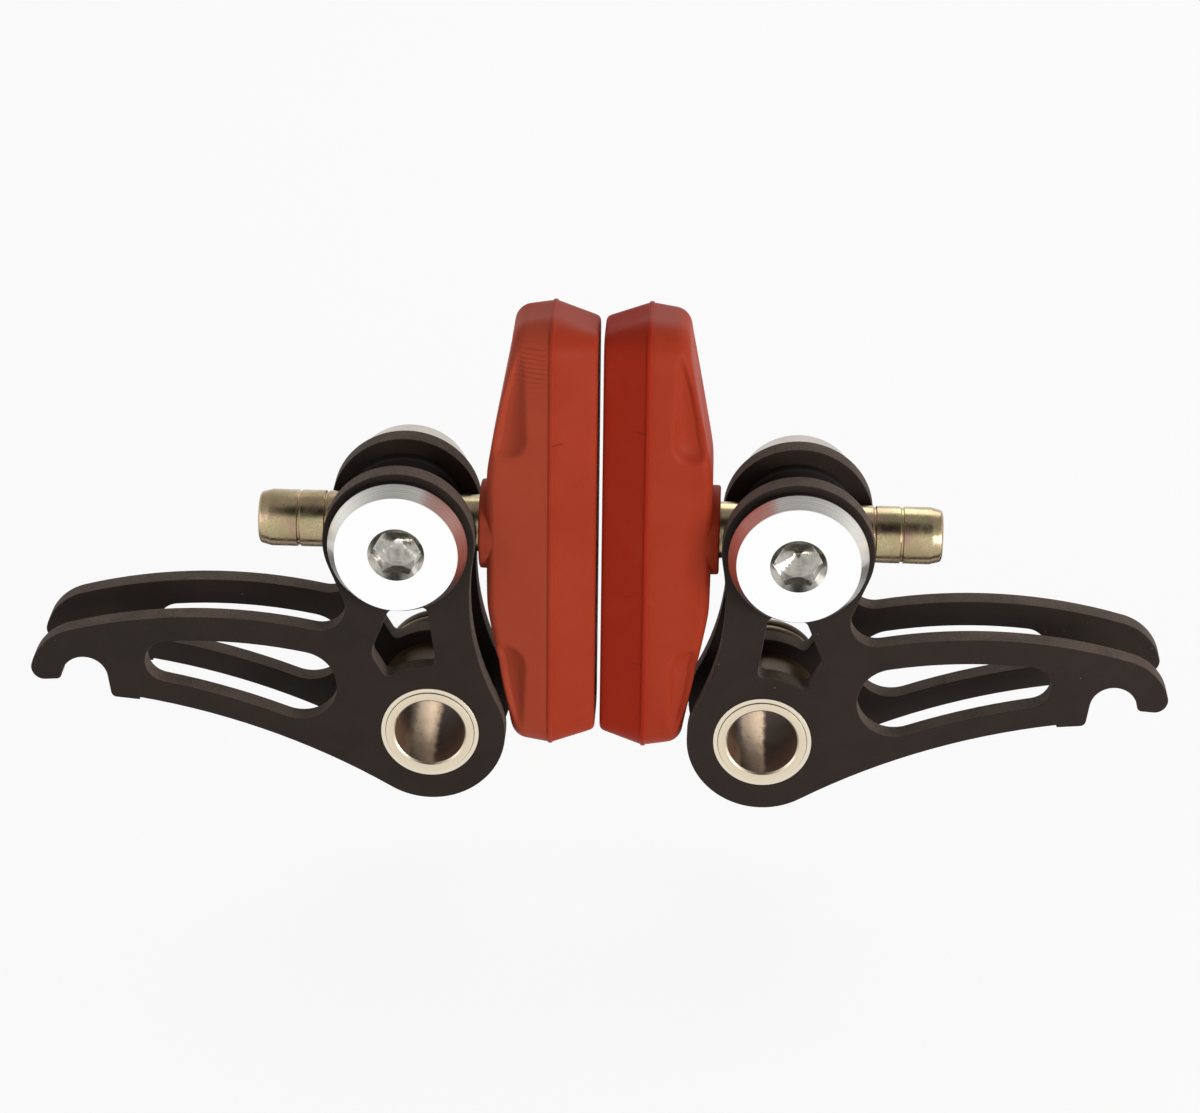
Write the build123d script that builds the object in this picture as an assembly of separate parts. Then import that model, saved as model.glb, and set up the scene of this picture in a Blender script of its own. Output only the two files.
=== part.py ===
from build123d import *
import math
import os

# Bicycle cantilever brake: two mirrored double-plate arms with their pads face to face.
# Millimetres. +Z up, X across the wheel, Y along the pivots with the viewer on the -Y side.
# The origin lies midway between the pivots, where the sleeves' rear ends meet the frame.

# Arm plates
plate_thickness = 2.5
plate_gap = 7.2
arm_reach = 24.25
arm_lean = 7.9
pivot_end_radius = 8.7
lobe_radius = 8.6
waist_radius = 30.0
neck_slope = 13.5
neck_fillet = 3.0

# Hook arm, in the arm's own frame: across from the pivot, up towards the clamp
hook_across = 38.65
hook_up = 11.1
hook_notch_radius = 2.7
hook_wall = 3.6
hook_nose_angle = 4.0
hook_nose_outer_round = 1.5
hook_nose_inner_round = 0.6
hook_jaw_drop = 2.7
hook_jaw_round = 0.7
top_edge_radius = 60.0
top_edge_root_across = 10.5
top_edge_root_up = 14.2
bottom_edge_radius = 80.0
foot_length = 3.2
foot_step = 0.3
foot_fall = 0.75

# Slot in the hook arm
slot_start = 9.75
slot_end = 31.3
slot_top_rail = 3.1
slot_bottom_rail = 2.7

# Window between pivot and clamp
window_inner_edge = -2.0
window_top_up = 16.0
window_top_across = 2.4
window_point_across = 5.3
window_point_up = 10.9
window_bottom_radius = 8.3
window_corner_angle = 62.0
window_round = 0.8
window_point_round = 2.0

# Pivot
stud_diameter = 8.0
stud_clearance = 0.05
sleeve_wall = 1.05
sleeve_proud = 0.15
sleeve_chamfer = 0.2
bush_wall = 0.5
bush_clearance = 0.04
spacer_wall = 1.6
spacer_clearance = 0.1

# Return spring
wire_diameter = 1.5
coil_bore_clearance = 0.25
coil_pitch = 1.65
coil_turns = 3.25
coil_clearance = 0.35
tail_radius = 8.2
tail_angle = 25.0
tail_bend = 1.2
tail_hole_clearance = 0.2
front_tail_length = 4.2
rear_tail_length = 3.5

# Clamp
disc_base_diameter = 15.8
disc_top_diameter = 13.9
disc_height = 1.8
socket_size = 5.0
socket_depth = 2.5
socket_point_depth = 1.1
socket_mouth_diameter = 6.4
flange_washer_thickness = 1.1
flange_washer_margin = 0.1
flange_washer_clearance = 0.15
thread_diameter = 8.0
thread_depth = 2.2
thread_clearance = 0.05
barrel_diameter = 11.0
barrel_clearance = 0.1
barrel_recess = 0.3
stud_thread_diameter = 6.0
rear_nut_height = 5.4
washer_depth = 1.5
washer_margin = 1.8

# Pad post
post_diameter = 6.5
post_clearance = 0.05
post_overhang = 7.7
post_end_taper = 1.4
post_end_narrowing = 0.35
post_end_round = 0.5
groove_width = 0.4
groove_depth = 0.15
groove_from_end = 4.6
groove_spacing = 3.1
anchor_diameter = 9.0
anchor_thickness = 1.6

# Brake pad
face_gap = 0.6
pad_length = 53.0
pad_width = 12.6
pad_corner_round = 4.0
pad_thickness = 12.4
pad_face_depth = 5.2
pad_face_draft = 19.0
pad_back_draft = 9.0
pad_parting_step = 0.15
pad_flat_length = 17.0
pad_end_thickness = 9.0
pad_end_round = 2.2
pad_end_splay = 1.0
pad_rim_round = 1.2
pad_back_tilt_limit = 20.0
boss_diameter = 10.2
boss_height = 0.9
boss_clearance = 0.3
anchor_cover = 5.0
flute_start = 11.5
flute_length = 9.0
flute_radius = 2.0
flute_tip_radius = 0.9
flute_setback = 1.6
flute_offset = 0.3

# Sizes that follow from these
plate_outer = plate_gap / 2 + plate_thickness
plate_mid = (plate_gap + plate_thickness) / 2
sleeve_bore = stud_diameter / 2 + stud_clearance
sleeve_radius = sleeve_bore + sleeve_wall
bush_bore = sleeve_radius + bush_clearance
bush_radius = bush_bore + bush_wall
spacer_bore = sleeve_radius + spacer_clearance
spacer_radius = bush_radius + spacer_wall - bush_wall
coil_radius = sleeve_radius + coil_bore_clearance + wire_diameter / 2
coil_front = plate_outer + coil_clearance + wire_diameter / 2
coil_back = coil_front + coil_pitch * coil_turns
sleeve_back = coil_back + wire_diameter / 2
disc_seat = plate_outer + flange_washer_thickness
barrel_radius = barrel_diameter / 2
barrel_hole = barrel_radius + barrel_clearance
barrel_end = plate_outer - barrel_recess
post_radius = post_diameter / 2
post_hole = post_radius + post_clearance
post_end = lobe_radius + post_overhang
pad_back = -(lobe_radius + boss_clearance + boss_height)
pad_face = pad_back - pad_thickness
pad_parting = pad_face + pad_face_depth
lean = math.radians(arm_lean)
clamp_x = face_gap / 2 - pad_face
clamp_z = arm_reach * math.cos(lean)
pivot_x = clamp_x - arm_reach * math.sin(lean)

# The right arm's frame: x outwards, y from pivot to clamp, z towards the viewer
ARM = Plane((pivot_x, -sleeve_back, 0), (math.cos(lean), 0, -math.sin(lean)), (0, -1, 0))
# The right clamp's frame: x outwards along the post, y up, z towards the viewer
CLAMP = Plane((clamp_x, -sleeve_back, clamp_z), (1, 0, 0), (0, -1, 0))

PIVOT = Vector(0, 0)
LOBE = Vector(0, arm_reach)
HOOK = Vector(hook_across, hook_up)


def polar(centre, radius, degrees):
    """The point at a radius and an angle from a centre."""
    angle = math.radians(degrees)
    return centre + Vector(math.cos(angle), math.sin(angle)) * radius


def meeting_point(first, first_radius, second, second_radius, side):
    """The point at two radii from two centres, left (+1) or right (-1) of the line between them."""
    gap = second - first
    along = (gap.length**2 + first_radius**2 - second_radius**2) / (2 * gap.length)
    across = math.sqrt(first_radius**2 - along**2)
    unit = gap.normalized()
    return first + unit * along + Vector(-unit.Y, unit.X) * (side * across)


def towards(centre, radius, target):
    """The point on a circle that lies nearest to a target."""
    return centre + (target - centre).normalized() * radius


def arc_about(centre, start, end, turn):
    """Arc from start to end round a centre, counter-clockwise (+1) or clockwise (-1)."""
    first = start - centre
    last = end - centre
    begin = math.atan2(first.Y, first.X)
    sweep = (math.atan2(last.Y, last.X) - begin) * turn % (2 * math.pi)
    middle = math.degrees(begin + turn * sweep / 2)
    return ThreePointArc(start, polar(centre, first.length, middle), end)


def crossing_at(centre, radius, across):
    """The upper point of a circle at a distance across."""
    return Vector(across, centre.Y + math.sqrt(radius**2 - (across - centre.X) ** 2))


def top_edge_centre():
    """Centre of the hook arm's top edge, which runs smoothly into the hook's outside."""
    root = Vector(top_edge_root_across, top_edge_root_up)
    reach = top_edge_radius - hook_notch_radius - hook_wall
    return meeting_point(root, top_edge_radius, HOOK, reach, -1)


def jaw_corner():
    """The lowest point of the notch's inner wall."""
    return HOOK - Vector(hook_notch_radius, hook_jaw_drop)


def foot_start():
    """The end of the bottom edge, at the foot under the hook's jaw."""
    return jaw_corner() - Vector(foot_length, foot_fall - foot_step)


def bottom_edge_centre():
    """Centre of the hook arm's hollow bottom edge, which leaves the pivot end smoothly."""
    reach = pivot_end_radius + bottom_edge_radius
    return meeting_point(PIVOT, reach, foot_start(), bottom_edge_radius, -1)


def corner_at(sketch, point):
    """The corner of a sketch nearest to a point."""
    return sketch.vertices().sort_by_distance((point.X, point.Y, 0))[0]


def plate_outline():
    """Pivot end, hollow waist, clamp lobe and hook arm in one outline."""
    waist = meeting_point(
        PIVOT, pivot_end_radius + waist_radius, LOBE, lobe_radius + waist_radius, 1
    )
    top = top_edge_centre()
    bottom = bottom_edge_centre()
    hook_radius = hook_notch_radius + hook_wall
    lobe_side = polar(LOBE, lobe_radius, -neck_slope)
    neck = polar(PIVOT, 1, -90 - neck_slope)
    # The neck line comes down from the lobe until it meets the top edge
    back = lobe_side - top
    half = neck.dot(back)
    fall = -half - math.sqrt(half**2 - back.dot(back) + top_edge_radius**2)
    neck_foot = lobe_side + neck * fall
    hook_top = towards(top, top_edge_radius, HOOK)
    nose_outer = polar(HOOK, hook_radius, hook_nose_angle)
    nose_inner = polar(HOOK, hook_notch_radius, hook_nose_angle)
    wall_top = HOOK - Vector(hook_notch_radius, 0)
    jaw = jaw_corner()
    foot = foot_start()
    heel = foot - Vector(0, foot_step)
    pivot_low = towards(PIVOT, pivot_end_radius, bottom)
    pivot_inner = towards(PIVOT, pivot_end_radius, waist)
    lobe_inner = towards(LOBE, lobe_radius, waist)
    edges = [
        arc_about(LOBE, lobe_side, lobe_inner, 1),
        arc_about(waist, lobe_inner, pivot_inner, -1),
        arc_about(PIVOT, pivot_inner, pivot_low, 1),
        arc_about(bottom, pivot_low, foot, -1),
        Line(foot, heel),
        Line(heel, jaw),
        Line(jaw, wall_top),
        arc_about(HOOK, wall_top, nose_inner, -1),
        Line(nose_inner, nose_outer),
        arc_about(HOOK, nose_outer, hook_top, 1),
        arc_about(top, hook_top, neck_foot, 1),
        Line(neck_foot, lobe_side),
    ]
    outline = make_face(edges)
    outline = fillet(corner_at(outline, neck_foot), neck_fillet)
    outline = fillet(corner_at(outline, nose_outer), hook_nose_outer_round)
    outline = fillet(corner_at(outline, nose_inner), hook_nose_inner_round)
    return fillet(corner_at(outline, jaw), hook_jaw_round)


def round_end_centre(limit, inwards, top, top_radius, bottom, bottom_radius):
    """Centre of a slot's round end, which touches both long edges and a line across at its limit."""
    # Each long edge gives the end's radius as a parabola in the centre's height
    top_spread = top_radius + inwards * (limit - top.X)
    bottom_spread = bottom_radius - inwards * (limit - bottom.X)
    top_peak = top_radius**2 - (limit - top.X) ** 2
    bottom_peak = bottom_radius**2 - (limit - bottom.X) ** 2
    # The parabolas cross at the centre's height
    spread = top_spread + bottom_spread
    half = bottom_spread * top.Y + top_spread * bottom.Y
    rest = bottom_spread * (top.Y**2 - top_peak) + top_spread * (bottom.Y**2 - bottom_peak)
    height = (half + math.sqrt(half**2 - spread * rest)) / spread
    radius = (top_peak - (height - top.Y) ** 2) / (2 * top_spread)
    return Vector(limit + inwards * radius, height)


def slot_outline():
    """Curved slot with round ends that keeps an even rail above and below it."""
    top = top_edge_centre()
    bottom = bottom_edge_centre()
    top_radius = top_edge_radius - slot_top_rail
    bottom_radius = bottom_edge_radius + slot_bottom_rail
    start = round_end_centre(slot_start, 1, top, top_radius, bottom, bottom_radius)
    end = round_end_centre(slot_end, -1, top, top_radius, bottom, bottom_radius)
    start_top = towards(top, top_radius, start)
    start_bottom = towards(bottom, bottom_radius, start)
    end_top = towards(top, top_radius, end)
    end_bottom = towards(bottom, bottom_radius, end)
    edges = [
        arc_about(bottom, start_bottom, end_bottom, -1),
        arc_about(end, end_bottom, end_top, 1),
        arc_about(top, end_top, start_top, 1),
        arc_about(start, start_top, start_bottom, 1),
    ]
    return make_face(edges)


def window_outline():
    """Pointed window whose bottom edge follows the pivot."""
    inner_top = Vector(window_inner_edge, window_top_up)
    outer_top = Vector(window_top_across, window_top_up)
    point = Vector(window_point_across, window_point_up)
    outer_low = polar(PIVOT, window_bottom_radius, window_corner_angle)
    inner_low = crossing_at(PIVOT, window_bottom_radius, window_inner_edge)
    edges = [
        arc_about(PIVOT, outer_low, inner_low, 1),
        Line(inner_low, inner_top),
        Line(inner_top, outer_top),
        Line(outer_top, point),
        Line(point, outer_low),
    ]
    window = make_face(edges)
    window = fillet(corner_at(window, point), window_point_round)
    corners = [corner_at(window, spot) for spot in (inner_top, outer_top, outer_low, inner_low)]
    return fillet(corners, window_round)


def tube(outer, inner, low, high):
    """Round tube along z."""
    ring = Circle(outer) - Circle(inner)
    return Pos(0, 0, low) * extrude(ring, high - low)


def arm_plate(mid):
    """One flat arm plate about its middle plane."""
    holes = Circle(bush_radius) + Pos(0, arm_reach) * Circle(barrel_hole)
    profile = plate_outline() - slot_outline() - window_outline() - holes
    return Pos(0, 0, mid - plate_thickness / 2) * extrude(profile, plate_thickness)


def rear_plate():
    """Arm plate with a hole that takes the spring's front tail."""
    spot = polar(PIVOT, tail_radius, tail_angle)
    hole = Pos(spot.X, spot.Y) * Circle(wire_diameter / 2 + tail_hole_clearance)
    return arm_plate(-plate_mid) - extrude(hole, -plate_outer)


def pivot_sleeve():
    """Sleeve that goes on the frame's stud, with eased bore ends."""
    length = sleeve_back + plate_outer + sleeve_proud
    sleeve = tube(sleeve_radius, sleeve_bore, -sleeve_back, length - sleeve_back)
    bore_edges = sleeve.edges().filter_by(GeomType.CIRCLE).group_by(SortBy.RADIUS)[0]
    return chamfer(bore_edges, sleeve_chamfer)


def bush(mid):
    """Thin bearing bush pressed into a plate."""
    return tube(bush_radius, bush_bore, mid - plate_thickness / 2, mid + plate_thickness / 2)


def pivot_spacer():
    """Tube that keeps the plates apart at the pivot."""
    return tube(spacer_radius, spacer_bore, -plate_gap / 2, plate_gap / 2)


def return_spring():
    """Torsion spring behind the rear plate, with a tail hooked forwards through its hole."""
    climb = coil_pitch / (2 * math.pi * coil_radius)
    leave = tail_angle - math.degrees(math.acos(coil_radius / tail_radius))
    run = math.sqrt(tail_radius**2 - coil_radius**2)
    start = polar(PIVOT, coil_radius, leave) - Vector(0, 0, coil_front)
    corner = polar(PIVOT, tail_radius, tail_angle) + Vector(0, 0, run * climb - coil_front)
    tip = corner + Vector(0, 0, front_tail_length)
    front = FilletPolyline(tip, corner, start, radius=tail_bend)
    coil = Helix(coil_pitch, coil_pitch * coil_turns, coil_radius)
    coil = Pos(0, 0, -coil_front) * Rot(0, 0, leave) * Rot(180, 0, 0) * coil
    end = coil @ 1
    heading = coil % 1
    bend_end = end + heading * tail_bend - Vector(0, 0, tail_bend)
    bend = TangentArc(end, bend_end, tangent=heading)
    rear = Line(bend @ 1, bend @ 1 - Vector(0, 0, rear_tail_length))
    path = Wire(front.edges() + [coil.edge(), bend.edge(), rear.edge()])
    section = Plane(tip, z_dir=(0, 0, -1)) * Circle(wire_diameter / 2)
    return sweep(section, path=path, is_frenet=True)


def hexagon_socket(face):
    """Hexagon socket with a countersunk mouth and a drilled point, cut down from a face."""
    flats = RegularPolygon(socket_size / 2, 6, major_radius=False)
    floor = face - socket_depth
    socket = Pos(0, 0, floor) * extrude(flats, socket_depth)
    point = Pos(0, 0, floor - socket_point_depth / 2) * Cone(0, socket_size / 2, socket_point_depth)
    mouth_depth = (socket_mouth_diameter - socket_size) / 2
    mouth = Cone(socket_size / 2, socket_mouth_diameter / 2, mouth_depth)
    return socket + point + Pos(0, 0, face - mouth_depth / 2) * mouth


def clamp_bolt():
    """Polished conical flange bolt."""
    head = Pos(0, 0, disc_seat) * Cone(
        disc_base_diameter / 2,
        disc_top_diameter / 2,
        disc_height,
        align=(Align.CENTER, Align.CENTER, Align.MIN),
    )
    shank_end = barrel_end - thread_depth
    shank = Pos(0, 0, shank_end) * extrude(
        Circle(thread_diameter / 2 - thread_clearance), disc_seat - shank_end
    )
    return head + shank - hexagon_socket(disc_seat + disc_height)


def flange_washer():
    """Flat washer between the front plate and the bolt's flange."""
    outside = disc_base_diameter / 2 - flange_washer_margin
    bore = thread_diameter / 2 + flange_washer_clearance
    return tube(outside, bore, plate_outer, disc_seat)


def eye_bolt():
    """Barrel with a cross hole for the post, a tapped front end and a rear stud."""
    barrel = Pos(0, 0, -barrel_end) * extrude(Circle(barrel_radius), 2 * barrel_end)
    stud_end = plate_outer + rear_nut_height
    stud = Pos(0, 0, -stud_end) * extrude(Circle(stud_thread_diameter / 2), stud_end - barrel_end)
    tapped = Pos(0, 0, barrel_end - thread_depth) * extrude(
        Circle(thread_diameter / 2), thread_depth
    )
    return barrel + stud - tapped - cross_cylinder(post_hole, -barrel_radius, barrel_radius)


def cross_cylinder(radius, start, end):
    """Round bar along x."""
    return Plane((start, 0, 0), (0, 1, 0), (1, 0, 0)) * extrude(Circle(radius), end - start)


def rear_cone_nut():
    """Cone nut on the eye bolt's stud."""
    cone = Pos(0, 0, -plate_outer) * Cone(
        disc_top_diameter / 2,
        disc_base_diameter / 2,
        rear_nut_height,
        align=(Align.CENTER, Align.CENTER, Align.MAX),
    )
    return cone - Pos(0, 0, -plate_outer - rear_nut_height) * extrude(
        Circle(stud_thread_diameter / 2 + thread_clearance), rear_nut_height
    )


def saddle_washer(side):
    """Ring against a plate, hollowed to seat the post."""
    outside = lobe_radius - washer_margin
    face = plate_gap / 2
    ring = tube(outside, barrel_hole, face - washer_depth, face)
    ring -= cross_cylinder(post_hole, -outside, outside)
    return ring if side > 0 else Rot(180, 0, 0) * ring


def pad_post():
    """Smooth post with two grooves, a tapered end and an anchor head moulded into the pad."""
    head_start = pad_face + anchor_cover
    head_end = head_start + anchor_thickness
    inner = post_radius - groove_depth
    outer_groove = post_end - groove_from_end
    inner_groove = outer_groove - groove_spacing
    half = groove_width / 2
    end_radius = post_radius - post_end_narrowing
    points = [
        (head_start, 0),
        (head_start, anchor_diameter / 2),
        (head_end, anchor_diameter / 2),
        (head_end, post_radius),
    ]
    for groove in (inner_groove, outer_groove):
        points += [
            (groove - half, post_radius),
            (groove - half / 2, inner),
            (groove + half / 2, inner),
            (groove + half, post_radius),
        ]
    points += [(post_end - post_end_taper, post_radius), (post_end, end_radius), (post_end, 0)]
    profile = make_face(Polyline(points, close=True))
    profile = fillet(corner_at(profile, Vector(post_end, end_radius)), post_end_round)
    return revolve(profile, Axis.X)


def pad_backing():
    """Back half of the pad: drafted from the ridge, thinning to the ends, with a rounded rim."""
    parting = Plane((pad_parting, 0, 0), (0, 0, 1), (1, 0, 0))
    plan = RectangleRounded(pad_width, pad_length, pad_corner_round)
    drafted = extrude(parting * plan, pad_thickness - pad_face_depth, taper=pad_back_draft)
    half = pad_length / 2
    flat = pad_flat_length / 2
    thin = pad_face + pad_end_thickness
    side = make_face(
        Polyline(
            (pad_face, half + pad_end_splay),
            (pad_parting, half + pad_end_splay),
            (thin, half),
            (pad_back, flat),
            (pad_back, -flat),
            (thin, -half),
            (pad_parting, -half - pad_end_splay),
            (pad_face, -half - pad_end_splay),
            close=True,
        )
    )
    ends = [corner_at(side, Vector(thin, half)), corner_at(side, Vector(thin, -half))]
    side = fillet(ends, pad_end_round)
    backing = drafted & extrude(side, pad_width, both=True)
    least = math.cos(math.radians(pad_back_tilt_limit))
    back_faces = backing.faces().filter_by(lambda face: face.normal_at().X > least)
    rim = back_faces.edges().filter_by(lambda edge: abs(edge.center().Z) > pad_rim_round)
    return fillet(rim, pad_rim_round)


def pad_flute():
    """Tapered finger that scoops the pad's flank beside its thinning back."""
    profile = make_face(
        [
            Line((0, flute_start), (0, flute_start + flute_length + flute_tip_radius)),
            Line(
                (0, flute_start + flute_length + flute_tip_radius),
                (flute_tip_radius, flute_start + flute_length),
            ),
            Line(
                (flute_tip_radius, flute_start + flute_length),
                (flute_radius, flute_start + flute_radius),
            ),
            arc_about(
                Vector(0, flute_start + flute_radius),
                Vector(flute_radius, flute_start + flute_radius),
                Vector(0, flute_start),
                -1,
            ),
        ]
    )
    finger = revolve(profile, Axis.Y)
    fall = (pad_thickness - pad_end_thickness) / ((pad_length - pad_flat_length) / 2)
    slope = math.degrees(math.atan(fall))
    back = pad_back - flute_setback
    flank = pad_width / 2 - (back - pad_parting) * math.tan(math.radians(pad_back_draft))
    turned = Pos(0, pad_flat_length / 2) * Rot(0, 0, slope) * Pos(0, -pad_flat_length / 2) * finger
    return Pos(back, 0, flank + flute_offset) * turned


def brake_pad():
    """Moulded pad: friction half and backing meet at a stepped ridge, with a boss round the post."""
    parting = Plane((pad_parting, 0, 0), (0, 0, 1), (1, 0, 0))
    plan = RectangleRounded(
        pad_width - 2 * pad_parting_step, pad_length - 2 * pad_parting_step, pad_corner_round
    )
    friction = extrude(parting * plan, -pad_face_depth, taper=pad_face_draft)
    boss = cross_cylinder(boss_diameter / 2, pad_parting, pad_back + boss_height)
    pad = friction + pad_backing() + boss
    flute = pad_flute()
    pair = [flute, mirror(flute, about=Plane.XY)]
    pad -= pair + [mirror(one, about=Plane.XZ) for one in pair]
    return pad - pad_post()


def both_sides(name, frame, shape):
    """The right piece in its place and the left one mirrored across the wheel."""
    right = frame.location * shape
    return {f"right_{name}": right, f"left_{name}": mirror(right, about=Plane.YZ)}


pieces = {}
pieces |= both_sides("front_plate", ARM, arm_plate(plate_mid))
pieces |= both_sides("rear_plate", ARM, rear_plate())
pieces |= both_sides("pivot_spacer", ARM, pivot_spacer())
pieces |= both_sides("pivot_sleeve", ARM, pivot_sleeve())
pieces |= both_sides("front_bush", ARM, bush(plate_mid))
pieces |= both_sides("rear_bush", ARM, bush(-plate_mid))
pieces |= both_sides("return_spring", ARM, return_spring())
pieces |= both_sides("clamp_bolt", CLAMP, clamp_bolt())
pieces |= both_sides("flange_washer", CLAMP, flange_washer())
pieces |= both_sides("eye_bolt", CLAMP, eye_bolt())
pieces |= both_sides("rear_cone_nut", CLAMP, rear_cone_nut())
pieces |= both_sides("front_saddle_washer", CLAMP, saddle_washer(1))
pieces |= both_sides("rear_saddle_washer", CLAMP, saddle_washer(-1))
pieces |= both_sides("pad_post", CLAMP, pad_post())
pieces |= both_sides("brake_pad", CLAMP, brake_pad())

os.makedirs("parts", exist_ok=True)
for node, piece in pieces.items():
    export_step(piece, f"parts/{node}.step")
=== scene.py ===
"""Finishes, moulded pads and a studio stage for the packed cantilever brake."""
import math

import bmesh
import bpy
import numpy as np
from bpy.props import FloatProperty, FloatVectorProperty, IntProperty, PointerProperty
from bpy.types import NodeSocket, Operator, Panel, PropertyGroup
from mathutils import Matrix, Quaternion, Vector


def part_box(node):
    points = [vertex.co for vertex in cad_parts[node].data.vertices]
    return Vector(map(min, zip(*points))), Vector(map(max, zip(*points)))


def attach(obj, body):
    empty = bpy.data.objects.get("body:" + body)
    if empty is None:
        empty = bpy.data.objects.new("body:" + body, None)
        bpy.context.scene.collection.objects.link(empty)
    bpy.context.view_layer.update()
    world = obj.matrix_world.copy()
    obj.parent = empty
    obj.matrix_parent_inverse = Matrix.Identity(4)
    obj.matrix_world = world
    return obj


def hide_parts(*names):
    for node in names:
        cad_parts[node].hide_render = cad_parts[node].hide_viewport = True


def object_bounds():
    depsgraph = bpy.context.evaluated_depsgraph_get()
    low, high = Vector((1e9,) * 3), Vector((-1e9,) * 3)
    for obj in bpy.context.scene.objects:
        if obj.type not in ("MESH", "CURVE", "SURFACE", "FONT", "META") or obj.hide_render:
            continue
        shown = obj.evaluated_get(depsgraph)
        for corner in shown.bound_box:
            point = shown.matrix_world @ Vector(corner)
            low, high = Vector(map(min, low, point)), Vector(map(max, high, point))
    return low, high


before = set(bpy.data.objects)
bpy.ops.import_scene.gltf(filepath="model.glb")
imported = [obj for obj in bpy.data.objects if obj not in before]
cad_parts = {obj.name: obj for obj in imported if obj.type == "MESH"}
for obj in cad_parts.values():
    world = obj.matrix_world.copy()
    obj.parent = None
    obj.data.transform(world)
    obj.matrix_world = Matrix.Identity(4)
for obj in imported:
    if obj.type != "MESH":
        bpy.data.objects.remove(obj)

bl_info = {
    "name": "Cantilever brake",
    "version": (1, 0, 0),
    "blender": (4, 5, 0),
    "location": "3D View > Sidebar > Brake",
    "description": "Dresses a packed cantilever brake with finishes, moulded pads and a stage",
    "category": "Object",
}

MM = 0.001
MICRON = 1e-6
SIDES = {"right": 1, "left": -1}
WHITE = (1.0, 1.0, 1.0, 1.0)
CAD_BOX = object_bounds()

# Edges of the CAD pieces and of the mouldings
WELD_DISTANCE = 1e-6
FLAT_ANGLE = math.radians(0.5)
SHARP_ANGLE = math.radians(35)
BREAK_STEPS = 2
MOULD_ANGLE = math.radians(50)

# Marks on turned metal: the rings' depth, and the distances from an axis over which other marks fade,
# among them the painted shade on the bores' sides
RING_DEPTH = 1.2 * MICRON
SOCKET_RIM = (3.3 * MM, 3.5 * MM)
# Painted shade: where the brown shade on the right and far left of each bore starts, and how far its
# edge wanders
PAINTED_SHADE_RIGHT = (0.50 * MM, 1.00 * MM)
PAINTED_SHADE_LEFT = (2.6 * MM, 3.6 * MM)
PAINTED_SHADE_WANDER = 0.8 * MM
# Painted shade: heights over which the posts darken towards their undersides
POST_UNDERSIDE_SHADE = (-1.6 * MM, 0.1 * MM)

# Scuffs: millimetres from the left pad's top and from its friction face, waves in radians per millimetre
SCUFF_TOP = (1.6, 2.6)
SCUFF_FOOT = (6.2, 8.0)
SCUFF_FRONT = (5.4, 5.9)
SCUFF_BACK = (8.4, 9.6)
SCUFF_WANDER = 0.9
SCUFF_WAVES = 11.0
SCUFF_SHADE = 0.3

# Nicks: pad and millimetres up from its middle, then metres from the friction face, width and slant
NICKS = (("left", 13.3), ("right", 15.0), ("right", -13.8))
NICK_START = (3.5 * MM, 3.9 * MM)
NICK_END = (4.9 * MM, 5.0 * MM)
NICK_WIDTH = (0.05 * MM, 0.16 * MM)
NICK_SLANT = 0.15
NICK_SHADE = 0.7

# Stage: each light's place, size and colour, then the floor and the camera
LIGHTS = {
    "key": ((0.38, -0.34, 0.05), 0.22, (1.0, 0.985, 0.96)),
    "fill": ((-0.42, -0.26, 0.10), 0.30, (0.97, 0.985, 1.0)),
    "back": ((0.10, 0.36, 0.36), 0.30, (1.0, 1.0, 1.0)),
}
FLOOR_REACH = 3.0
FLOOR_PAPER = (0.86, 0.86, 0.86, 1.0)
FLOOR_GLOW = 0.88
SENSOR_WIDTH = 36.0
NEAREST_SEEN = 0.01


def middle(node):
    """The middle of a CAD node's box."""
    low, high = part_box(node)
    return (low + high) / 2


PIVOT = middle("right_pivot_spacer")
CLAMP = middle("right_front_saddle_washer")


def colour_property(name, description, default):
    """A colour that the user can change."""
    return FloatVectorProperty(
        name=name, description=description, subtype="COLOR", size=3, min=0, max=1, default=default
    )


def length_property(name, description, default):
    """A length in metres that the user can change."""
    return FloatProperty(
        name=name,
        description=description,
        unit="LENGTH",
        subtype="DISTANCE",
        default=default,
        precision=5,
    )


def share_property(name, description, default):
    """A share between nothing and all that the user can change."""
    return FloatProperty(
        name=name, description=description, subtype="FACTOR", min=0, max=1, default=default
    )


def angle_property(name, description, degrees):
    """An angle that the user can change."""
    turn = math.radians(degrees)
    return FloatProperty(name=name, description=description, subtype="ANGLE", default=turn)


def number_property(name, description, default):
    """A plain number that the user can change."""
    return FloatProperty(name=name, description=description, default=default)


class PlateSettings(PropertyGroup):
    """The black arm plates."""

    face: colour_property("Face", "Anodised face of the plates", (0.0265, 0.0187, 0.0153))
    cut: colour_property("Cut edge", "Milled edges of the plates", (0.132, 0.100, 0.082))
    dust: colour_property("Dust", "Specks of dust on the plates", (0.30, 0.27, 0.25))
    roughness: share_property("Roughness", "Satin of the anodised face", 0.44)
    edge_round: length_property("Edge round", "Break of the plates' edges", 0.14 * MM)


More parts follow.
